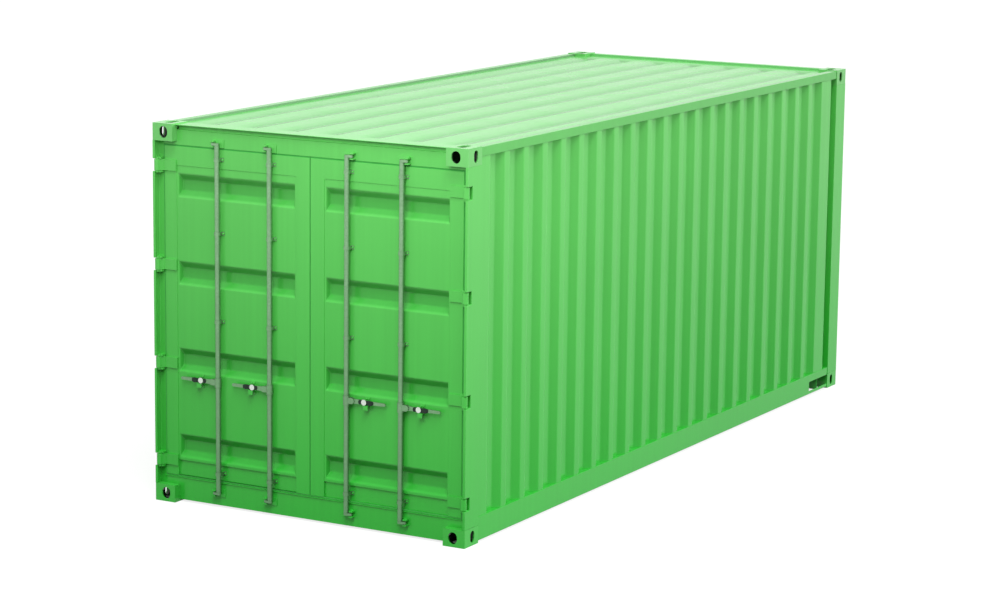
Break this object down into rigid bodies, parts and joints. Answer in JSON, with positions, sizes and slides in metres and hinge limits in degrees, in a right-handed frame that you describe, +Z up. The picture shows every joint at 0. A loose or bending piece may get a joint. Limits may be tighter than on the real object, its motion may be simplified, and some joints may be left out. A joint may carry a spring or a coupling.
{
  "type": "shipping container",
  "caption": "Closed steel shipping container with corrugated walls, a grooved roof, corner castings and hinged cargo doors with lock rods and handles.",
  "frame": {"origin": "on the ground under the middle of the container, level with the undersides of the bottom corner castings", "axes": "+X to the right seen from outside the doors, +Y from the doors to the blind end, +Z up"},
  "size_m": [2.438, 6.058, 2.591],
  "materials": {
    "green_paint": "satin paint on weathering steel sheet",
    "casting_paint": "satin paint on cast steel",
    "galvanised_steel": "matt grey-green zinc coat on steel bar",
    "seal_rubber": "matt black extruded seal",
    "floor_board": "plywood floor in green paint"
  },
  "bodies": {
    "shell": {"corner_castings_bottom": "casting_paint", "corner_castings_top": "casting_paint", "door_post_left": "green_paint", "door_post_right": "green_paint", "front_post_left": "green_paint", "front_post_right": "green_paint", "door_header": "green_paint", "door_sill": "green_paint", "front_top_beam": "green_paint", "front_bottom_beam": "green_paint", "top_side_rails": "green_paint", "bottom_side_rails": "green_paint", "floor": "floor_board", "floor_bearers": "green_paint", "side_wall_left": "green_paint", "side_wall_right": "green_paint", "front_wall": "green_paint", "roof_panel": "green_paint", "hinge_lugs": "green_paint", "cam_keepers": "green_paint"},
    "door_left": {"door_frame_left": "green_paint", "door_panel_left": "green_paint", "hinge_blades_left": "green_paint", "door_gasket_left": "seal_rubber", "rod_brackets_left": "galvanised_steel", "handle_retainers_left": "green_paint"},
    "rod_left_inner": {"lock_rod_left_inner": "galvanised_steel", "rod_fittings_left_inner": "galvanised_steel"},
    "handle_left_inner": {"lock_handle_left_inner": "galvanised_steel"},
    "rod_left_outer": {"lock_rod_left_outer": "galvanised_steel", "rod_fittings_left_outer": "galvanised_steel"},
    "handle_left_outer": {"lock_handle_left_outer": "galvanised_steel"},
    "door_right": {"door_frame_right": "green_paint", "door_panel_right": "green_paint", "hinge_blades_right": "green_paint", "door_gasket_right": "seal_rubber", "rod_brackets_right": "galvanised_steel", "handle_retainers_right": "green_paint"},
    "rod_right_inner": {"lock_rod_right_inner": "galvanised_steel", "rod_fittings_right_inner": "galvanised_steel"},
    "handle_right_inner": {"lock_handle_right_inner": "galvanised_steel"},
    "rod_right_outer": {"lock_rod_right_outer": "galvanised_steel", "rod_fittings_right_outer": "galvanised_steel"},
    "handle_right_outer": {"lock_handle_right_outer": "galvanised_steel"}
  },
  "joints": [
    {"name": "door_left_swing", "type": "hinge", "parent": "shell", "child": "door_left", "pos_m": [-1.197, -3.007, 1.301], "axis": [0, 0, -1], "range_deg": [0, 262]},
    {"name": "rod_left_inner_turn", "type": "hinge", "parent": "door_left", "child": "rod_left_inner", "pos_m": [-0.301, -3, 0.868], "axis": [0, 0, -1], "range_deg": [-90, 0]},
    {"name": "handle_left_inner_lift", "type": "hinge", "parent": "rod_left_inner", "child": "handle_left_inner", "pos_m": [-0.345, -3, 0.868], "axis": [0, 1, 0], "range_deg": [0, 25]},
    {"name": "rod_left_outer_turn", "type": "hinge", "parent": "door_left", "child": "rod_left_outer", "pos_m": [-0.716, -3, 0.868], "axis": [0, 0, -1], "range_deg": [-90, 0]},
    {"name": "handle_left_outer_lift", "type": "hinge", "parent": "rod_left_outer", "child": "handle_left_outer", "pos_m": [-0.76, -3, 0.868], "axis": [0, 1, 0], "range_deg": [0, 25]},
    {"name": "door_right_swing", "type": "hinge", "parent": "shell", "child": "door_right", "pos_m": [1.197, -3.007, 1.301], "axis": [0, 0, 1], "range_deg": [0, 262]},
    {"name": "rod_right_inner_turn", "type": "hinge", "parent": "door_right", "child": "rod_right_inner", "pos_m": [0.301, -3, 0.868], "axis": [0, 0, 1], "range_deg": [-90, 0]},
    {"name": "handle_right_inner_lift", "type": "hinge", "parent": "rod_right_inner", "child": "handle_right_inner", "pos_m": [0.345, -3, 0.868], "axis": [0, -1, 0], "range_deg": [0, 25]},
    {"name": "rod_right_outer_turn", "type": "hinge", "parent": "door_right", "child": "rod_right_outer", "pos_m": [0.716, -3, 0.868], "axis": [0, 0, 1], "range_deg": [-90, 0]},
    {"name": "handle_right_outer_lift", "type": "hinge", "parent": "rod_right_outer", "child": "handle_right_outer", "pos_m": [0.76, -3, 0.868], "axis": [0, -1, 0], "range_deg": [0, 25]}
  ]
}
